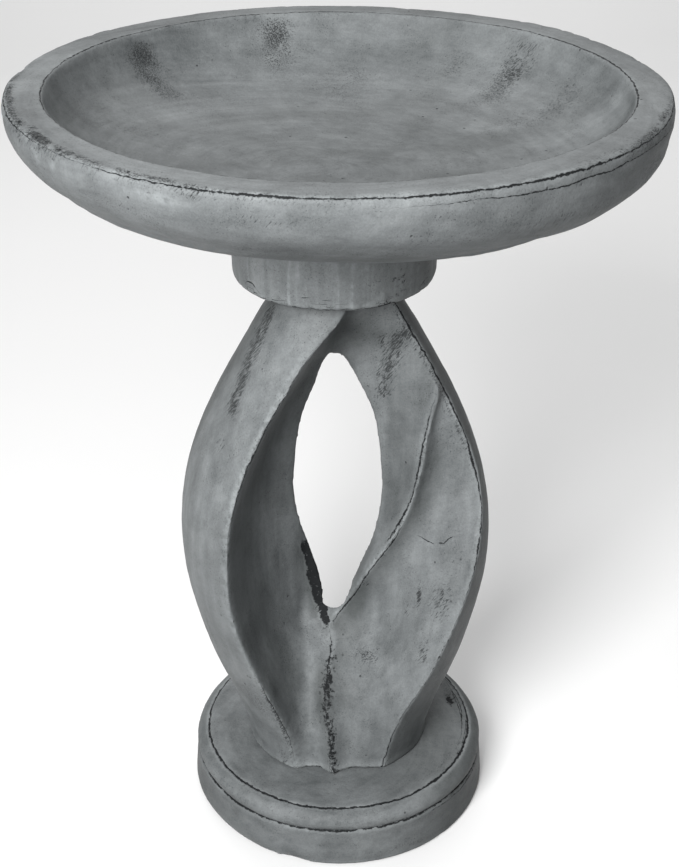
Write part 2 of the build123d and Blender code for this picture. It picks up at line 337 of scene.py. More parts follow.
# ------------------------------------------------------------------ materials
class Surface:
    """One material while its nodes are being laid out. Lengths in a material are metres."""

    def __init__(self, name):
        self.material = bpy.data.materials.new(name)
        self.material.use_nodes = True
        self.tree = self.material.node_tree
        self.shader = self.tree.nodes["Principled BSDF"]
        self.place = self.add("TexCoord").outputs["Object"]

    def add(self, kind, inputs=(), **settings):
        """Adds one node; inputs pairs a socket with a number or with another node's output."""
        node = self.tree.nodes.new("ShaderNode" + kind)
        for key, value in settings.items():
            setattr(node, key, value)
        for socket, value in inputs:
            if isinstance(value, bpy.types.NodeSocket):
                self.tree.links.new(value, node.inputs[socket])
            else:
                node.inputs[socket].default_value = value
        return node

    def set(self, socket, value):
        """Gives the shader a number, a colour or a node's output."""
        if isinstance(value, bpy.types.NodeSocket):
            self.tree.links.new(value, self.shader.inputs[socket])
        else:
            self.shader.inputs[socket].default_value = value

    def stretched(self, scale, turn=(0, 0, 0)):
        """The place on the piece, stretched, so that noise on it turns into streaks."""
        inputs = [("Vector", self.place), ("Scale", scale), ("Rotation", tuple(radians(v) for v in turn))]
        return self.add("Mapping", inputs, vector_type="TEXTURE").outputs[0]

    def around(self, pull):
        """The place for rings round the Z axis: radius, height and a slow turn, with no seam."""
        flat = self.add("VectorMath", [(0, self.place), (1, (1, 1, 0))], operation="MULTIPLY").outputs[0]
        length = self.add("VectorMath", [(0, flat)], operation="LENGTH").outputs["Value"]
        way = self.add("VectorMath", [(0, flat)], operation="NORMALIZE").outputs[0]
        slow = self.add("VectorMath", [(0, way), ("Scale", pull)], operation="SCALE").outputs[0]
        out = self.add("CombineXYZ", [("X", length), ("Y", length)]).outputs[0]
        rise = self.add("VectorMath", [(0, self.place), (1, (0, 0, 1))], operation="MULTIPLY").outputs[0]
        total = self.add("VectorMath", [(0, slow), (1, out)], operation="ADD").outputs[0]
        return self.add("VectorMath", [(0, total), (1, rise)], operation="ADD").outputs[0]

    def noise(self, size, low=0.3, high=0.7, detail=3.0, rough=0.55, where=None, bend=0.0):
        """Noise with lumps about size metres across, spread out between 0 and 1."""
        inputs = [("Vector", where or self.place), ("Scale", 1 / size), ("Detail", detail)]
        made = self.add("TexNoise", inputs + [("Roughness", rough), ("Distortion", bend)])
        return self.between(made.outputs["Fac"], low, high)

    def spots(self, size, radius):
        """1 at the middle of scattered spots, 0 beyond their radius; cells are size metres across."""
        made = self.add("TexVoronoi", [("Vector", self.place), ("Scale", 1 / size)])
        return self.between(made.outputs["Distance"], radius / size, 0.25 * radius / size)

    def between(self, value, low, high, to_low=0.0, to_high=1.0):
        inputs = [("Value", value), ("From Min", low), ("From Max", high)]
        inputs += [("To Min", to_low), ("To Max", to_high)]
        return self.add("MapRange", inputs, clamp=True).outputs[0]

    def math(self, how, a, b=0.0):
        return self.add("Math", [(0, a), (1, b)], operation=how).outputs[0]

    def total(self, first, *more):
        """The sum of first and of each (value, weight) that follows."""
        out = first
        for value, weight in more:
            out = self.add("Math", [(0, value), (1, weight), (2, out)], operation="MULTIPLY_ADD").outputs[0]
        return out

    def painted(self, name):
        """The numbers that paint() stored on the piece."""
        return self.add("Attribute", attribute_name=name).outputs["Fac"]

    def mix(self, share, a, b):
        """Colour a turning into colour b as share goes from 0 to 1."""
        node = self.add("Mix", [(0, share)], data_type="RGBA")
        for socket, value in ((6, a), (7, b)):
            if isinstance(value, bpy.types.NodeSocket):
                self.tree.links.new(value, node.inputs[socket])
            else:
                node.inputs[socket].default_value = (*value, 1)
        return node.outputs[2]

    def shades(self, value, *stops):
        """A colour that follows value through the stops, each (place, colour)."""
        node = self.add("ValToRGB", [("Fac", value)])
        ramp = node.color_ramp
        for _ in stops[2:]:
            ramp.elements.new(0.5)
        for element, (place, colour) in zip(ramp.elements, stops):
            element.position = place
            element.color = (*colour, 1)
        return node.outputs["Color"]

    def bump(self, height, depth):
        """Small relief; depth in metres is the height of one whole step."""
        made = self.add("Bump", [("Height", height), ("Distance", depth), ("Strength", 1.0)])
        self.set("Normal", made.outputs["Normal"])


STONE_DARK = (0.102, 0.110, 0.113)
STONE = (0.184, 0.196, 0.200)
STONE_LIGHT = (0.272, 0.288, 0.292)
STONE_WORN_AND_HIGHLIGHT = (0.34, 0.362, 0.368)
STONE_FILM_AND_SHADE = (0.045, 0.050, 0.049)
WASH_BLACK = (0.008, 0.009, 0.010)
FILM_SHARE = 0.22  # how much thin black film there is everywhere


def cast_stone(name, around, tint=1.0):
    """Grey paint brushed on cast stone and rubbed with black, which stays in pits, edges and brush marks.

    The piece's own numbers say where: 'line' and 'force' thin broken lines, black with a pale edge that is
    partly wear and partly a painted highlight, 'wash' broad black, 'scuff' scribbled brush marks, 'worn' pale
    places, partly wear and partly a painted highlight, and 'shade' darkening painted in for shadow.
    """
    s = Surface(name)
    streaks = s.around(0.05) if around else s.stretched((1, 1, 7))
    clouds = s.noise(0.085, detail=4)
    blotches = s.noise(0.022, detail=5, rough=0.6)
    strokes = s.noise(0.006, 0.33, 0.67, detail=4, where=streaks)
    long_strokes = s.noise(0.016, 0.33, 0.67, detail=3, where=streaks, bend=0.4)
    grain = s.noise(0.0014, 0.3, 0.7, detail=3, rough=0.7)
    smears = s.noise(0.004, 0.32, 0.68, detail=4, rough=0.6, where=s.stretched((1, 1, 5), (25, 50, 0)))
    value = s.total(0.02, (clouds, 0.24), (blotches, 0.22), (strokes, 0.10), (long_strokes, 0.13))
    value = s.total(value, (grain, 0.17), (smears, 0.08))
    dark, middle, light = [tuple(tint * c for c in colour) for colour in (STONE_DARK, STONE, STONE_LIGHT)]
    colour = s.shades(value, (0.2, dark), (0.5, middle), (0.8, light))

    wear_and_highlight = s.math("MULTIPLY", s.painted("wear_and_highlight"), s.noise(0.005, 0.35, 0.6, detail=4))
    force = s.painted("force")
    ragged = s.noise(0.0028, 0.3, 0.68, detail=5, rough=0.7)
    waver = s.noise(0.006, 0.2, 0.8, detail=3)
    offset = s.total(-LINE_SPAN / 2, (s.painted("line"), LINE_SPAN), (waver, 1.6), (0.5, -1.6))
    near = s.math("ABSOLUTE", offset)
    beside = s.math("ABSOLUTE", s.math("SUBTRACT", offset, 1.9))
    pale = s.math("MULTIPLY", s.between(beside, 1.7, 0.3), s.math("MULTIPLY", force, ragged))
    # the 'worn' places and the lines' pale edges: partly wear, partly painted highlight
    rubbed = s.math("MAXIMUM", wear_and_highlight, s.math("MULTIPLY", pale, 0.5))
    colour = s.mix(rubbed, colour, tuple(tint * c for c in STONE_WORN_AND_HIGHLIGHT))

    film_and_shade = s.math("MULTIPLY", s.noise(0.05, 0.45, 0.7, detail=5, rough=0.65), FILM_SHARE)
    # painted shade: the 'shade' numbers darken the colour further, on top of the thin film
    film_and_shade = s.total(film_and_shade, (s.painted("painted_shade"), 0.6))
    colour = s.mix(film_and_shade, colour, STONE_FILM_AND_SHADE)

    reach = s.math("MULTIPLY", force, s.total(0.15, (ragged, 1.45)))
    line = s.between(s.total(reach, (near, -1.0)), 0.0, 0.35)
    broad = s.between(s.math("SUBTRACT", s.math("ADD", s.painted("wash"), ragged), 1.0), 0.0, 0.3)
    line = s.math("MAXIMUM", line, broad)
    slanting = s.stretched((0.6, 0.6, 4.0), (14, 32, 0))
    scribble = s.noise(0.0016, 0.36, 0.64, detail=5, rough=0.72, where=slanting)
    scuff = s.between(s.math("SUBTRACT", s.math("ADD", s.painted("scuff"), scribble), 1.0), 0.0, 0.35)
    specks = s.noise(0.0012, 0.60, 0.70, detail=2, rough=0.6)
    specks = s.math("MULTIPLY", specks, s.noise(0.025, 0.42, 0.60, detail=4))
    pits = s.math("MULTIPLY", s.spots(0.014, 0.0012), s.noise(0.03, 0.48, 0.58, detail=2))
    black = s.math("MAXIMUM", s.math("MULTIPLY", scuff, 0.8), s.math("MULTIPLY", pits, 0.8))
    black = s.math("MAXIMUM", line, s.math("MAXIMUM", black, s.math("MULTIPLY", specks, 0.6)))
    colour = s.mix(s.math("MULTIPLY", black, 0.97), colour, WASH_BLACK)
    s.set("Base Color", colour)

    s.set("Roughness", s.total(0.46, (blotches, 0.14), (black, 0.2), (grain, 0.06)))
    s.set("IOR", 1.48)
    s.set("Specular IOR Level", 0.22)
    relief = s.total(0.0, (grain, 0.11), (strokes, 0.10), (smears, 0.08), (blotches, 0.7), (pits, -1.4))
    s.bump(s.total(relief, (line, -0.5), (scuff, -0.3), (specks, -0.2)), 0.0005)
    return s.material


def floor_paper():
    s = Surface("floor_paper")
    clouds = s.noise(0.5, detail=2)
    s.set("Base Color", s.shades(clouds, (0.0, (0.93, 0.93, 0.928)), (1.0, (0.945, 0.945, 0.944))))
    s.set("Roughness", 0.9)
    return s.material


floor.data.materials.append(floor_paper())


# ------------------------------------------------------------------ the feature lines of the column
# (height, radius) of the egg, and (height, azimuth) or (height, x, y) of the lines on one front of it.
EGG = [
    (40, 72.5), (60, 75.5), (92, 84), (140, 102), (190, 115), (240, 122),
    (290, 119), (340, 104), (390, 81), (430, 61), (465, 46), (485, 42),
]
LEFT_ARRIS = [
    (50, -27), (90, -28), (140, -31), (190, -38), (250, -41), (310, -41),
    (360, -36), (400, -27), (430, -15), (450, 4), (467, 16),
]
RIGHT_ARRIS = [
    (50, 30), (110, 34), (150, 38), (205, 49), (254, 60),
    (305, 69), (350, 71), (400, 70), (430, 67), (467, 62),
]
RIDGE = [
    (50, -3, -73), (60, -4, -73), (98, -8, -67), (113, -10, -57), (128, -8, -43), (140, -5, -26),
    (155, 1, -10), (170, 6, -4), (190, 14, -10), (216, 24, -22), (234, 33, -27), (258, 47, -30),
    (283, 58, -29), (312, 65, -30), (345, 69, -32), (377, 75, -34),
]


def on_egg(line):
    """A line of (height, azimuth) as points in space."""
    dense = curve_through(line, 6)
    radius = np.interp(dense[:, 0], *np.array(EGG, float).T)
    turn = np.radians(dense[:, 1])
    return np.stack([radius * np.sin(turn), -radius * np.cos(turn), dense[:, 0]], axis=1)


class Line:
    """How far each point of a piece is from a feature line: in all, and to its right across the surface."""

    def __init__(self, points, line, facing=(0, -1, 0)):
        self.distance = np.full(len(points), 1e9)
        self.across = np.zeros(len(points))
        for sign in (1, -1):
            here = points * (sign, sign, 1)
            for a, b in zip(line, line[1:]):
                t = np.clip((here - a) @ (b - a) / np.dot(b - a, b - a), 0, 1)
                off = here - (a + t[:, None] * (b - a))
                d = np.linalg.norm(off, axis=1)
                near = d < self.distance
                right = np.cross(b - a, facing)
                self.distance[near] = d[near]
                self.across[near] = (off @ (right / np.linalg.norm(right)))[near]


# ------------------------------------------------------------------ bowl
RIM_TOP = 610.0
RIM_RADIUS = 227.5
BOWL_RADIUS = 228.6  # the widest that this bowl may be, to stay inside the CAD one
SEAT = 517.5
SOCKET_RADIUS = 11.05
SOCKET_TOP = 540.2
BOWL_OUTSIDE = [
    (84, SEAT), (110, 523), (139, 532), (169.5, 544), (196, 556),
    (213, 568.5), (222.5, 580), (227, 592), (228.7, 602), (227.9, 607),
]
BOWL_INSIDE = [
    (201.2, 608.4), (197, 598), (186, 583), (165, 569),
    (130, 559.5), (80, 554), (40, 552.6), (8, 552.1),
]

# Brush marks inside the bowl: azimuth, width in degrees, lowest and highest point, strength.
MARKS_INSIDE = [
    (-129, 5, 566, 604, 0.85), (-165, 5, 572, 606, 0.8), (133, 5, 562, 604, 0.85), (150, 4, 570, 590, 0.5),
    (112, 9, 556, 590, 0.45), (-100, 12, 556, 585, 0.35), (178, 16, 556, 574, 0.4),
]
# Brush marks on its outside: azimuth, width in degrees, height of the middle, spread in height, strength.
MARKS_OUTSIDE = [
    (-38, 12, 585, 8, 0.35), (-12, 9, 592, 6, 0.4), (8, 10, 566, 7, 0.35), (38, 14, 580, 10, 0.5),
    (62, 14, 586, 9, 0.5), (110, 16, 580, 10, 0.5), (-95, 18, 584, 9, 0.5), (170, 25, 578, 12, 0.45),
    (-150, 14, 590, 8, 0.45),
]


def make_bowl():
    rim = [(227.2, 608.7), (226.1, 609.7), (224.4, RIM_TOP)]
    lip = [(204.6, RIM_TOP), (203.0, 609.9), (201.9, 609.4)]
    profile = np.concatenate(
        [
            [(radius, SOCKET_TOP) for radius in (0, 6, 10.6, SOCKET_RADIUS)],
            [(SOCKET_RADIUS, 538)],
            straight((SOCKET_RADIUS, 530), (SOCKET_RADIUS, 519), 6),
            [(SOCKET_RADIUS, 518.3), (11.6, SEAT), (14, SEAT)],
            straight((20, SEAT), (82, SEAT), 10),
            curve_through(BOWL_OUTSIDE, 3.2),
            rim,
            straight((222.6, RIM_TOP), (205.5, RIM_TOP), 2.2),
            lip,
            curve_through(BOWL_INSIDE, 4.4),
            [(0, 552.0)],
        ]
    )
    piece = lathe("basin_casting", profile, 720)
    p = points_of(piece)
    r, azimuth = polar(p)
    z = p[:, 2]
    free = ramp(86, 120, r) + ramp(545, 552, z) * ramp(120, 86, r)  # everything but the seat and the socket
    inside = ramp(548, 551, z) * ramp(206, 200, r)
    outside = (1 - inside) * ramp(100, 125, r)

    # uneven by hand: a wavering rim, long swells and small lumps
    push(piece, free * (0.9 * noise(p, 90, 3) + 0.45 * layered(p, 30, 4) + 0.16 * layered(p, 8, 5)))
    p = points_of(piece)
    edge = np.hypot(r - RIM_RADIUS, z - RIM_TOP)
    bite = ramp(0.25, 0.8, layered(p, 9, 6)) * bell(edge, 3.4)  # small losses along the rim's outer edge
    worn_round = bell(edge, 3.5) * (0.7 + 0.5 * noise(p, 45, 7))
    push(piece, -1.5 * bite - 0.9 * worn_round)
    strokes = layered(np.stack([r, z, azimuth * 4], axis=1), (6, 6, 18), 8)
    push(piece, -0.25 * outside * ramp(0.1, 0.7, strokes) * ramp(556, 566, z))

    p = points_of(piece)
    tilt_x, tilt_y = 0.0042, -0.0020  # the basin sits a little askew on its collar
    p[:, 2] += free * (-tilt_x * p[:, 0] + tilt_y * p[:, 1])
    p[:, 0] += free * 0.6
    set_points(piece, p)
    belly = outside * ramp(595, 575, z) * ramp(130, 175, r)  # fuller on the right than on the left
    push(piece, belly * (3.4 * bell(away(azimuth, 55), 40) - 1.6 * bell(away(azimuth, -50), 42)))
    p = points_of(piece)
    p[:, 2] -= ramp(545, 600, z) * ramp(120, 190, r) * max(0.0, p[:, 2].max() - RIM_TOP)
    p[:, :2] *= np.minimum(1, BOWL_RADIUS / np.maximum(np.hypot(p[:, 0], p[:, 1]), 1))[:, None]
    set_points(piece, p)

    # black along the rim's edges, strongest in front on the left, in broken runs
    run = 0.5 + 0.5 * layered(p, (34, 34, 60), 11)
    thin = 0.5 + 0.5 * layered(p, 7, 12)
    left = bell(away(azimuth, -52), 38)
    front = bell(away(azimuth, -5), 55)
    right = bell(away(azimuth, 55), 40)
    waver = 1.1 * noise(p, 26, 13)
    outer = ramp(214, 220, r)
    inner = ramp(190, 196, r) * ramp(216, 212, r)
    draw_lines(
        piece,
        [
            ((r - 227.6) * 0.4 - (z - 608.6) * 0.9, outer * (0.2 + 0.9 * run + 0.15 * front - 0.2 * left)),
            (z - 602.5 - waver, outer * (0.1 + 0.9 * run) * right),
            (202.6 - r + 0.5 * (RIM_TOP - z), inner * (0.3 + 0.45 * run + 0.3 * bell(away(azimuth, 92), 40))),
        ],
    )
    ragged = bell(r - 224.0 - 3 * waver, 4.5) * ramp(599, 605, z) * (0.3 + 0.7 * ramp(0.15, 0.5, thin))
    scarred = 0.8 * bell(away(azimuth, -55), 12) + 0.6 * bell(away(azimuth, -82), 14)
    scarred += 0.55 * bell(away(azimuth, 64), 16)
    scarred = ragged * (scarred + 0.45 * bell(away(azimuth, -28), 14) + 0.25)
    hollow = ramp(0.5, 2.0, -bulge(piece, 8))
    paint(piece, "wash", np.maximum(0.62 * scarred, 0.75 * bite * left) + 0.2 * hollow)

    # scribbled brush marks on the inside of the far wall and low on the outside
    marks = np.zeros(len(p))
    for centre, width, low, high, strength in MARKS_INSIDE:
        band = ramp(low - 6, low + 6, z) * ramp(high + 5, high - 5, z)
        marks = np.maximum(marks, strength * inside * bell(away(azimuth, centre), width) * band)
    for centre, width, height, tall, strength in MARKS_OUTSIDE:
        here = strength * outside * bell(away(azimuth, centre), width)
        marks = np.maximum(marks, here * bell(z - height, tall))
    paint(piece, "scuff", np.maximum(marks * (0.75 + 0.4 * layered(p, 16, 15)), 0.95 * scarred))

    pale = bell(np.hypot(r - 226.5, z - 609.3), 2.2) * (0.35 + 0.4 * thin)
    pale = np.maximum(pale, 0.9 * ramp(0.1, 0.7, strokes) * outside * bell(z - 600, 7) * (0.3 + 0.7 * left))
    paint(piece, "wear_and_highlight", np.maximum(pale, 0.4 * bell(np.hypot(r - 203.5, z - RIM_TOP), 2.4) * thin))

    # painted shade, with soft swirls: inside, darker towards the middle and the right, and round the wall
    # except on the left; outside, darker low down, in blotches
    swirl = layered(np.stack([p[:, 0] - 0.2 * p[:, 1], 2.3 * p[:, 1], z], axis=1), 46, 16)
    painted_shade = 0.10 + 0.22 * swirl + 0.22 * ramp(170, 90, r) + 0.12 * ramp(-40, 120, p[:, 0])
    painted_shade += 0.30 * bell(r - 186, 16) * (0.5 + 0.5 * noise(p, 40, 17)) * (1 - bell(away(azimuth, -100), 60))
    painted_shade *= inside
    painted_shade += 0.22 * outside * ramp(560, 530, z) + 0.12 * outside * (0.5 + 0.5 * layered(p, (30, 30, 9), 18))
    paint(piece, "painted_shade", painted_shade)
    piece.data.materials.append(cast_stone("basin_paint", True, 1.04))
    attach(piece, "basin")
    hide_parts("bowl")
    return piece


# ------------------------------------------------------------------ collar
COLLAR_BOTTOM = 469.0
COLLAR_TOP = 516.0
COLLAR_SHIFT = -3.0  # the drum stands a little to the left of the pin
COLLAR_SOCKET = 477.9  # the bottom of the hole for the pin


def make_collar():
    profile = np.concatenate(
        [
            [(radius, COLLAR_BOTTOM) for radius in (0, 20, 44, 60, 66)],
            [(69.4, 469.05), (71.4, 469.5), (73.0, 470.6), (74.0, 472.2)],
            straight((74.45, 474), (75.55, 512.4), 1.2),
            [(75.6, 513.6), (75.2, 515.0), (74.2, 515.8), (72.6, COLLAR_TOP), (70, COLLAR_TOP)],
            straight((66, COLLAR_TOP), (14, COLLAR_TOP), 7),
            [(12, COLLAR_TOP), (11.4, 515.9)],
            [(SOCKET_RADIUS, height) for height in (515.3, 513, 500, 486, 479.5, 477.95)],
            [(radius, COLLAR_SOCKET) for radius in (10.4, 6, 0)],
        ]
    )
    piece = lathe("collar_drum", profile, 440)
    p = points_of(piece)
    r, azimuth = polar(p)
    z = p[:, 2]
    skin = ramp(62, 70, r)
    side = ramp(70, 74, r)
    push(piece, skin * (0.55 * noise(p, 45, 21) + 0.3 * layered(p, 14, 22) + 0.1 * layered(p, 4, 23)))
    foot = bell(np.hypot(r - 74, z - 470.5), 3.2)
    # crumbs of mortar and small losses along the lower edge
    ragged = ramp(0.1, 0.8, layered(p, 8, 24)) * foot
    push(piece, -1.3 * ragged)
    blob = bell(np.hypot(away(azimuth, 27) * 1.3, z - 476), 3.4)
    push(piece, 1.2 * blob)
    p = points_of(piece)
    p[:, 0] += COLLAR_SHIFT * ramp(14, 40, r)
    p[:, 2] -= 1.4 * ramp(478, 470, z) * ramp(56, 64, r)
    set_points(piece, p)

    run = 0.5 + 0.5 * layered(p, (16, 16, 10), 25)
    waver = noise(p, 9, 26)
    draw_lines(
        piece,
        [
            (z - 470.4 - 1.2 * waver, side * (0.25 + 0.8 * run)),
            (z - 476.0 - 2.6 * waver, side * 0.7 * ramp(0.45, 0.9, run)),
            (z - 515.2, side * 0.6 * run),
            (blob * 8 - 3, 0.6 * ramp(0.02, 0.2, blob) * ramp(0.3, 0.9, run)),
        ],
    )
    scrape = bell(away(azimuth, 39), 9) * bell(z - 486, 13)
    paint(piece, "wash", side * np.maximum(0.6 * bell(z - 470, 1.8) * run, 0.42 * scrape))
    streaks = layered(np.stack([azimuth * 1.3, z, z * 0], axis=1), (3.2, 60, 60), 28)
    right = ramp(-5, 40, azimuth) * ramp(150, 90, azimuth) + bell(away(azimuth, 180), 40)
    single = 0.4 * bell(away(azimuth, 20), 5) * ramp(0, 0.5, streaks)
    paint(piece, "scuff", side * (0.30 * ramp(0.0, 0.8, streaks) * (0.4 + right) + single))
    pale = 0.55 * ramp(0.15, 0.8, -streaks) * (1 - 0.5 * right) + 0.4 * bell(z - 472.5, 1.5)
    paint(piece, "wear_and_highlight", side * pale)
    # painted shade: darker on the right, towards the top under the basin, with some streaks, and on the top
    # and bottom faces
    paint(piece, "painted_shade", side * (0.6 * right + 0.12 * streaks + 0.3 * ramp(505, 514, z)) + 0.3 * (1 - side))
    # a lighter copy of the stone paint: painted light on the collar
    piece.data.materials.append(cast_stone("collar_paint", False, 1.12))
    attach(piece, "pedestal")
    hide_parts("collar")
    return piece


# ------------------------------------------------------------------ plinth
PLINTH_TOP = 50.7


def make_plinth():
    moulding = [
        (119.9, 34.9), (121.3, 37.2), (121.9, 40.0), (121.2, 43.2),
        (119.1, 46.3), (115.9, 48.7), (112.6, 49.75),
    ]
    profile = np.concatenate(
        [
            [(0, 0), (40, 0), (80, 0), (105, 0), (116, 0), (120, 0.05), (122.2, 0.5), (123.5, 1.7)],
            straight((123.75, 3.2), (121.75, 32.6), 1.25),
            [(121.5, 33.5), (120.9, 34.15), (120.2, 34.4)],
            curve_through(moulding, 1.15),
            [(111.9, 49.85), (111.4, 50.15), (110.9, 50.55), (110.2, PLINTH_TOP)],
            straight((109, PLINTH_TOP), (60, PLINTH_TOP), 2.2),
            straight((60, PLINTH_TOP), (12, PLINTH_TOP), 8),
            [(0, PLINTH_TOP)],
        ]
    )
    piece = lathe("plinth_base", profile, 640)
    p = points_of(piece)
    r, azimuth = polar(p)
    z = p[:, 2]
    skin = ramp(0.2, 4, z)
    top = ramp(49, 50.4, z) * ramp(112, 110.6, r)
    side = ramp(112.5, 116, r)
    band = side * ramp(35, 33.5, z)
    lumps = 0.75 * noise(p, 60, 41) + 0.3 * layered(p, 16, 42) + 0.10 * layered(p, 4.5, 43)
    push(piece, skin * side * lumps)
    push(piece, top * ramp(85, 95, r) * (0.22 * layered(p, 26, 44) + 0.06 * layered(p, 5, 45)))
    p = points_of(piece)
    step = bell(np.hypot(r - 111.6, z - 50), 1.5)
    ledge = bell(np.hypot(r - 121.2, z - 33.9), 1.5)
    chips = ramp(0.3, 0.8, layered(p, 10, 46))
    push(piece, -0.7 * step * (0.6 + 0.6 * noise(p, 30, 47)) - 1.2 * ledge * chips)
    scar = bell(away(azimuth, 104), 5) * bell(r - 101, 4) * ramp(-0.9, 0.0, layered(p, 6, 48))
    push(piece, -1.6 * scar * skin)
    foot = bell(z - 2, 4) * side
    lost = bell(away(azimuth, -18), 6) * foot * ramp(-0.4, 0.4, layered(p, 9, 49))
    push(piece, -1.8 * lost - 0.8 * foot * chips * skin - 2.2 * foot * bell(away(azimuth, -48), 26))

    p = points_of(piece)
    run = 0.5 + 0.5 * layered(p, (26, 26, 14), 51)
    thin = 0.5 + 0.5 * layered(p, 6, 52)
    right = ramp(-10, 60, azimuth) * ramp(180, 130, azimuth)
    waver = noise(p, 18, 53)
    low_side = side * ramp(42, 40, z)
    draw_lines(
        piece,
        [
            (r - 111.7 - 0.4 * waver, ramp(48, 49, z) * ramp(104, 108, r) * (0.65 + 0.55 * run)),
            (34.5 - z + 0.3 * waver, low_side * (0.4 + 0.7 * run)),
            (37.2 - z + 0.9 * waver, low_side * run * (0.2 + 0.7 * right)),
            (z - 30.6 - 1.3 * waver, low_side * run * bell(away(azimuth, 58), 32)),
            (z - 1.0, side * (0.35 + 0.5 * run)),
            (r - 107.0 - 1.5 * waver, top * 0.8 * run * bell(away(azimuth, 100), 26)),
        ],
    )
    paint(piece, "wash", np.maximum(0.95 * scar, 0.5 * bell(z - 0.6, 1.5) * side * run))
    pale = 0.75 * bell(z - 33.3, 1.2) * band * thin + 0.35 * bell(z - 44, 4) * side * thin
    paint(piece, "wear_and_highlight", pale + 0.35 * bell(r - 109.5, 1.6) * top * thin)
    sweep = layered(np.stack([r, azimuth * 2.1, z], axis=1), (9, 60, 9), 56)
    marks = 0.5 * side * ramp(0.05, 0.7, sweep) * (0.4 + 0.6 * right)
    marks += 0.4 * top * ramp(0.2, 0.7, sweep) * (0.3 + 0.7 * right)
    marks += 0.45 * bell(away(azimuth, 110), 14) * bell(r - 104, 7) * ramp(40, 48, z)
    paint(piece, "scuff", marks)
    # painted shade: on the top round the column's foot and towards the right; on the band under the moulding;
    # on the sides, most towards the right and on the left
    contact = bell(np.maximum(r - 76, 0), 14) * top
    dim = 0.12 + 0.9 * ramp(20, 62, azimuth) * ramp(175, 120, azimuth) + 0.3 * bell(away(azimuth, -85), 40)
    painted_side_shade = 0.22 * band * (0.5 + 0.5 * sweep) + side * dim
    painted_shade = 0.08 * top + 0.25 * top * layered(p, (40, 40, 9), 57) + 0.35 * top * ramp(0, 80, p[:, 0])
    paint(piece, "painted_shade", painted_shade + 0.2 * contact + painted_side_shade)
    piece.data.materials.append(cast_stone("plinth_paint", True))
    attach(piece, "pedestal")
    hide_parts("plinth")
    return piece


# ------------------------------------------------------------------ column
COLUMN_FOOT = 52.7
COLUMN_HEAD = 467.0

# Brush marks on one front of the column: centre, spread along each axis, strength.
COLUMN_MARKS = [
    ((64, -39, 206), (2.2, 6, 9), 0.95),
    ((24, -32, 142), (14, 14, 6), 0.6),
    ((80, -56, 212), (12, 12, 20), 0.55),
    ((-60, -70, 130), (16, 16, 30), 0.45),
    ((-50, -30, 150), (16, 20, 40), 0.4),
]

# Long strokes: their points, width, strength.
COLUMN_STRIPES = [
    ([(-52, -18, 450), (-60, -25, 428), (-70, -35, 400), (-77, -43, 376)], 9, 0.9),
    ([(-47, -22, 448), (-60, -36, 412)], 4, 0.8),
    ([(54, -24, 436), (43, -15, 416), (37, -9, 392), (35, -5, 372)], 8, 0.82),
    ([(30, -14, 424), (38, -14, 400)], 4, 0.7),
]

# The far leaf's edge, seen through the window, where a black band is painted as its shadow,
# and a hairline crack, as points on one front.
FAR_EDGE = [
    (-27, 4, 236), (-24, 6, 223), (-21, 6, 210), (-19, 5, 197),
    (-17, 4, 184), (-15, 2, 172), (-12, -1, 162), (-8, -5, 156),
]
CRACK = [(66, -28, 253), (70, -30, 251.5), (75, -33, 251), (79, -36, 253.5), (82, -38, 254), (86, -40, 258)]


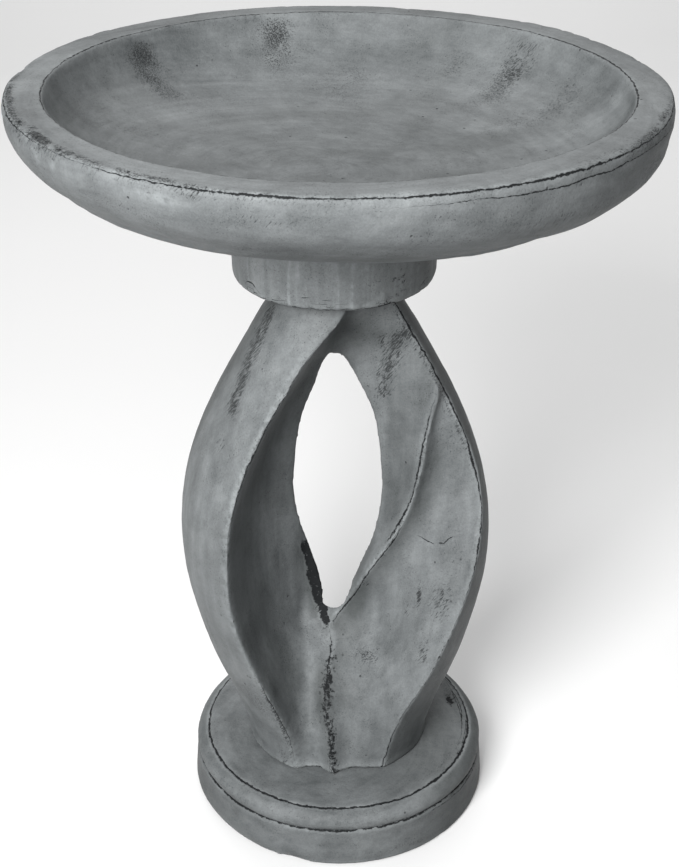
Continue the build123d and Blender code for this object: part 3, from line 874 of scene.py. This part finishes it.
def make_column():
    piece = remeshed("twisted_leaves", "leaf_column", 2.14, 4)
    p = points_of(piece)
    pairs = edges_of(piece)
    z = p[:, 2]
    body = ramp(COLUMN_FOOT + 0.5, COLUMN_FOOT + 5, z) * ramp(COLUMN_HEAD - 0.5, COLUMN_HEAD - 4, z)
    left = Line(p, on_egg(LEFT_ARRIS), (0.5, -0.87, 0))
    right = Line(p, on_egg(RIGHT_ARRIS), (0.2, -0.98, 0))
    ridge = Line(p, curve_through(np.array(RIDGE, float)[:, [1, 2, 0]], 6))

    push(piece, -1.3 + 0.5 * bell(np.linalg.norm(p - (0, 0, 160), axis=1), 30))
    p = points_of(piece)
    p[:, 2] = np.clip(p[:, 2], COLUMN_FOOT, COLUMN_HEAD)
    z = p[:, 2]

    # the left arris is soft and round, the other edges only a little worn
    soft = 0.95 * bell(left.distance, 11) * ramp(405, 375, z)
    soft += 0.5 * bell(ridge.distance, 7) * ramp(138, 122, z)
    soft += 0.9 * bell(z - 295, 10) * ramp(42, 36, np.abs(p[:, 0])) * ramp(20, 14, np.abs(p[:, 1]))
    p = blurred(p, pairs, 22, np.clip(body * soft, 0, 1))
    for sign, far in ((1, 6.0), (-1, 3.0)):  # the window's lower end leans to the left, less so from behind
        here = p * (sign, sign, 1)
        lean = bell(here[:, 2] - 158, 26) * bell(here[:, 1] - 2, 15) * bell(here[:, 0] - 2, 30)
        p[:, 0] -= sign * far * lean
    # the window's left edge moves inwards, its lowest end to the left, and the right arrises turn a little
    low_end = bell(z - 156, 13) * bell(p[:, 1] + 2, 16) * bell(p[:, 0] + 4, 22)
    left_edge = bell(p[:, 0] + 31, 14) * bell(p[:, 1], 17) * ramp(185, 240, z) * ramp(405, 375, z)
    p[:, 0] += 4.8 * left_edge - 9.0 * low_end
    turn = np.radians(4.6) * bell(right.distance, 24) * ramp(110, 165, z) * ramp(462, 440, z)
    x, y = p[:, 0].copy(), p[:, 1].copy()
    p[:, 0] = x * np.cos(turn) - y * np.sin(turn)
    p[:, 1] = x * np.sin(turn) + y * np.cos(turn)
    set_points(piece, p)
    push(piece, body * (0.85 * noise(p, 70, 61) + 0.42 * layered(p, 24, 62) + 0.13 * layered(p, 7, 63)))
    p = points_of(piece)
    chipped = ramp(0.25, 0.8, layered(p, 9, 64)) * (bell(right.distance, 3.5) + 0.5 * bell(ridge.distance, 3))
    push(piece, -1.3 * chipped * body)
    p = points_of(piece)
    foot = np.clip((COLUMN_FOOT + 8 - p[:, 2]) / 8, 0, 1)  # mortar wiped into the corner over its bed
    normal = normals_of(piece) * (1, 1, 0)
    normal /= np.maximum(np.linalg.norm(normal, axis=1), 0.3)[:, None]
    p += normal * (foot**2 * (2.6 + 0.9 * noise(p, 12, 65)))[:, None]
    p[:, 2] = np.clip(p[:, 2], COLUMN_FOOT, COLUMN_HEAD) - 1.95 * foot**2
    squeeze = 0.36 * ramp(345, 392, z) * bell(p[:, 0], 42) * bell(p[:, 1], 34)  # the window's pointed top
    p[:, 0] -= squeeze * p[:, 0]
    p[:, 0] += -0.8 - 1.8 * ramp(60, 260, z)
    set_points(piece, p)

    convex = ramp(0.10, 0.9, bulge(piece, 6))
    hollow = ramp(0.10, 1.0, -bulge(piece, 10))
    run = 0.5 + 0.5 * layered(p, (18, 18, 30), 66)
    thin = 0.5 + 0.5 * layered(p, 6, 67)
    waver = 0.8 * noise(p, 14, 70)
    up = ramp(COLUMN_FOOT - 1, COLUMN_FOOT + 1, z)
    crack = Line(p, np.array(CRACK, float))
    lip = Line(p, np.array(FAR_EDGE, float))
    far_edge = ramp(234, 222, z) * ramp(-1, -5, p[:, 0])
    at_right, at_left, at_ridge = [ramp(8, 5, line.distance) for line in (right, left, ridge)]
    high_ridge = at_ridge * ramp(392, 350, z) * ramp(235, 265, z)
    middle_ridge = at_ridge * ramp(275, 250, z) * ramp(150, 175, z)
    broken = 0.55 * ramp(6, 4, crack.distance) * ramp(1, 3, np.abs(p[:, 0] - 76.5)) * (0.4 + run)
    from_lip = ramp(4.2, 14.2, lip.distance + 2.2 * waver + 2 * ramp(175, 160, z)) * 10
    draw_lines(
        piece,
        [
            (-right.across + 0.6 * waver, at_right * up * (0.15 + 0.6 * run + 0.5 * ramp(200, 250, z))),
            (0.3 - left.across + waver, at_left * bell(z - 355, 60) * (0.6 + 0.7 * run)),
            (-0.6 - left.across + waver, at_left * bell(z - 115, 50) * (0.4 + 0.8 * run)),
            (-2.2 - ridge.across + 0.5 * waver, high_ridge * (0.25 + 0.85 * run)),
            (2.4 - ridge.across + 0.6 * waver, middle_ridge * (0.35 + 0.8 * run)),
            (ridge.across + 0.5 + 1.5 * waver, at_ridge * ramp(160, 135, z) * (0.55 + 0.6 * thin)),
            (z - COLUMN_FOOT - 0.8 - 0.6 * waver, 0.75 * (0.3 + 0.7 * run)),
            (crack.across + 0.2 * waver, broken),
            # a black band painted as the far leaf's shadow, seen through the window
            (from_lip, 1.2 * far_edge * ramp(11, 8, lip.distance)),
        ],
    )
    speckled = bell(ridge.across - 1.0, 6.0) * ramp(13, 9, ridge.distance) * ramp(158, 125, z)
    speckled *= 0.5 + 0.5 * thin
    paint(piece, "wash", up * np.maximum(speckled, 0.55 * hollow * run))
    # a pale band beside the ridge low down is a painted highlight, with less painted shade under it
    flank = bell(ridge.across + 14, 5.5) * ramp(40, 25, ridge.distance) * ramp(150, 130, z)
    pale = 0.95 * bell(ridge.across - 0.3, 1.9) * at_ridge * ramp(380, 340, z) * ramp(140, 160, z)
    pale *= 0.4 + 0.6 * thin
    # painted highlight along the left arris
    beside = 0.5 * bell(left.distance, 8) * ramp(440, 380, z)
    beside += 0.35 * bell(left.across + 3.5, 3) * at_left * ramp(270, 320, z)
    pale += beside
    pale += 0.3 * flank + 0.25 * convex * thin
    pale += 0.6 * bell(z - COLUMN_FOOT - 1.0, 1.8) * (0.4 + 0.6 * thin)
    paint(piece, "wear_and_highlight", pale)

    marks = np.zeros(len(p))
    for centre, spread, strength in COLUMN_MARKS:
        for sign in (1, -1):
            off = (p - np.array(centre) * (sign, sign, 1)) / np.array(spread)
            here = np.exp(-(off**2).sum(axis=1))
            marks = np.maximum(marks, (strength if sign > 0 else 0.8 * strength) * here)
    for points, width, strength in COLUMN_STRIPES:
        along = Line(p, np.array(points, float))
        marks = np.maximum(marks, strength * bell(along.distance, width) * (0.65 + 0.45 * thin))
    marks = np.maximum(marks, 0.45 * ramp(0.35, 0.8, layered(p, (22, 22, 60), 68)))
    low_left = 0.9 * bell(left.across + 2, 4) * at_left * bell(z - 115, 50) * (0.6 + 0.5 * thin)
    high_left = 0.9 * bell(left.across - 1, 3) * at_left * bell(z - 355, 60) * (0.6 + 0.5 * thin)
    high_right = 0.7 * bell(right.across + 2.5, 3) * at_right * ramp(300, 330, z) * (0.5 + 0.5 * thin)
    for along_arris in (low_left, high_left, high_right):
        marks = np.maximum(marks, along_arris)
    paint(piece, "scuff", marks)

    # painted shade: darker in the hollow beside the left arris, beside the ridge, under the collar, on the
    # right and left sides, between the window and the ridge, in hollows and low down
    deep = 0.55 * ramp(2, 12, left.across) * ramp(70, 50, left.distance) * ramp(85, 130, z)
    deep *= ramp(450, 410, z)
    scoop = 0.62 * ramp(1.5, 5, ridge.across) * ramp(24, 5, ridge.across) * ramp(34, 24, ridge.distance)
    scoop *= ramp(105, 150, z) * ramp(370, 300, z)
    trough = 0.34 * bell(ridge.across + 4.5, 4.0) * ramp(18, 10, ridge.distance) * ramp(150, 120, z)
    under = 0.5 * ramp(425, 455, z) * ramp(20, 4, np.abs(left.across - 8))
    under += 0.6 * bell(np.linalg.norm(p - (4, -16, 432), axis=1), 14)
    skin = 0.75 * ramp(1, 5, right.across) * ramp(60, 30, right.distance)
    # painted shade round the far leaf's edge, and on the column's left side
    turned_away = 0.5 * ramp(12, 6, lip.distance) * ramp(250, 235, z)
    turned_away += 0.38 * ramp(-6, -30, left.across) * ramp(90, 60, left.distance)
    skin += turned_away
    skin += 0.32 * ramp(-3, -8, ridge.across) * ramp(42, 34, ridge.distance) * ramp(230, 280, z)
    painted_shade = 0.06 + deep * (1 - 0.6 * flank) + scoop + trough + under + skin + 0.22 * hollow
    paint(piece, "painted_shade", painted_shade + 0.10 * layered(p, (24, 24, 70), 69) + 0.10 * ramp(140, 60, z))
    piece.data.materials.append(cast_stone("leaf_paint", False))
    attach(piece, "pedestal")
    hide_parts("leaf_column")
    return piece


make_bowl()
make_collar()
make_plinth()
make_column()


# ------------------------------------------------------------------ steel, rubber and mortar
def steel(name, colour, rust, along=(1, 1, 14), gloss=0.32):
    """Drawn steel with fine scratches along it and rust freckles."""
    s = Surface(name)
    lines = s.noise(0.0007, 0.3, 0.7, detail=3, where=s.stretched(along))
    clouds = s.noise(0.007, detail=4)
    dark = tuple(0.72 * c for c in colour)
    base = s.shades(s.total(0.2, (lines, 0.35), (clouds, 0.3)), (0.2, dark), (0.8, colour))
    freckles = s.math("MULTIPLY", s.noise(0.0035, 0.55, 0.66, detail=5, rough=0.7), rust)
    s.set("Base Color", s.mix(freckles, base, (0.16, 0.062, 0.026)))
    s.set("Metallic", s.between(freckles, 0.0, 1.0, 1.0, 0.1))
    s.set("Roughness", s.total(gloss, (lines, 0.16), (freckles, 0.4)))
    s.bump(s.total(0.0, (lines, 0.4), (freckles, 0.6)), 0.00006)
    return s.material


def mortar():
    """Sandy grey mortar."""
    s = Surface("mortar_sand")
    sand = s.noise(0.0011, 0.3, 0.7, detail=4, rough=0.75)
    clouds = s.noise(0.012, detail=3)
    value = s.total(0.0, (sand, 0.6), (clouds, 0.4))
    s.set("Base Color", s.shades(value, (0.1, (0.05, 0.054, 0.056)), (0.85, (0.21, 0.22, 0.22))))
    s.set("Roughness", s.total(0.78, (sand, 0.15)))
    s.bump(sand, 0.0005)
    return s.material


def rubber():
    """Black rubber with a faint cross-hatched grip and a dusty bloom."""
    s = Surface("pad_black_rubber")
    waves = [("Vector", s.place), ("Scale", 260.0), ("Distortion", 0.3)]
    one = s.add("TexWave", waves).outputs["Fac"]
    other = s.add("TexWave", waves, bands_direction="Y").outputs["Fac"]
    grip = s.math("MAXIMUM", one, other)
    dust = s.noise(0.004, 0.35, 0.75, detail=5, rough=0.7)
    s.set("Base Color", s.mix(s.math("MULTIPLY", dust, 0.35), (0.014, 0.014, 0.015), (0.10, 0.10, 0.095)))
    s.set("Roughness", s.total(0.55, (dust, 0.25)))
    s.bump(s.total(0.0, (grip, 0.7), (dust, 0.2)), 0.0002)
    return s.material


PIN_RADIUS = 8.5
PIN_BOTTOM = 480
PIN_TOP = 536


def make_pin():
    """The loose dowel: turned ends and three shallow grip grooves."""
    profile = [(0, PIN_BOTTOM), (3, PIN_BOTTOM), (6.6, PIN_BOTTOM), (7.4, 480.1), (8.3, 481.0)]
    profile += [(PIN_RADIUS, 481.4), (PIN_RADIUS, 484)]
    for groove in (488.0, 508.0, 528.0):
        profile += [(PIN_RADIUS, groove - 1.6), (PIN_RADIUS, groove - 0.9)]
        profile += [(8.05, groove - 0.4), (7.95, groove), (8.05, groove + 0.4)]
        profile += [(PIN_RADIUS, height) for height in (groove + 0.9, groove + 1.6, min(groove + 5, 532))]
    profile += [(PIN_RADIUS, 533.5), (PIN_RADIUS, 534.6), (8.3, 535.0), (7.4, 535.9)]
    profile += [(6.6, PIN_TOP), (3, PIN_TOP), (0, PIN_TOP)]
    piece = lathe("dowel", profile, 72)
    piece.data.materials.append(steel("dowel_steel", (0.62, 0.62, 0.61), 0.5))
    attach(piece, "pin")
    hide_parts("locating_pin")
    return piece


def make_pad(number, material):
    """A thin round pad with soft edges and a dished middle."""
    low, high = box_mm(f"pad_{number}")
    centre = (low + high) / 2
    radius = (high[0] - low[0]) / 2
    profile = [(0, 0), (3, 0), (8, 0), (radius - 0.7, 0)]
    profile += [(radius - 0.25, 0.1), (radius - 0.03, 0.4), (radius, 0.75)]
    profile += [(radius - 0.03, 1.1), (radius - 0.25, 1.4), (radius - 0.7, 1.5)]
    profile += [(9.5, 1.5), (8.6, 1.35), (3, 1.3), (0, 1.3)]
    piece = lathe(f"rubber_pad_{number}", profile, 64)
    set_points(piece, points_of(piece) + (centre[0], centre[1], low[2]))
    piece.data.materials.append(material)
    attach(piece, "pedestal")
    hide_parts(f"pad_{number}")
    return piece


make_pin()
black_rubber = rubber()
for number in (1, 2, 3):
    make_pad(number, black_rubber)


def dress(material, *nodes):
    """Gives carried-over CAD nodes their material."""
    for name in nodes:
        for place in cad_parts[name].material_slots:
            place.material = material


dress(mortar(), "mortar_lower", "mortar_upper")
sleeve_zinc = steel("sleeve_zinc", (0.48, 0.49, 0.50), 0.35, along=(1, 1, 6), gloss=0.42)
dress(sleeve_zinc, "sleeve_lower", "sleeve_upper")
bar_steel = steel("bar_steel", (0.22, 0.21, 0.20), 0.95, along=(1, 1, 10), gloss=0.5)
dress(bar_steel, "bar_left", "bar_right", "plinth_hoop", "bowl_hoop")
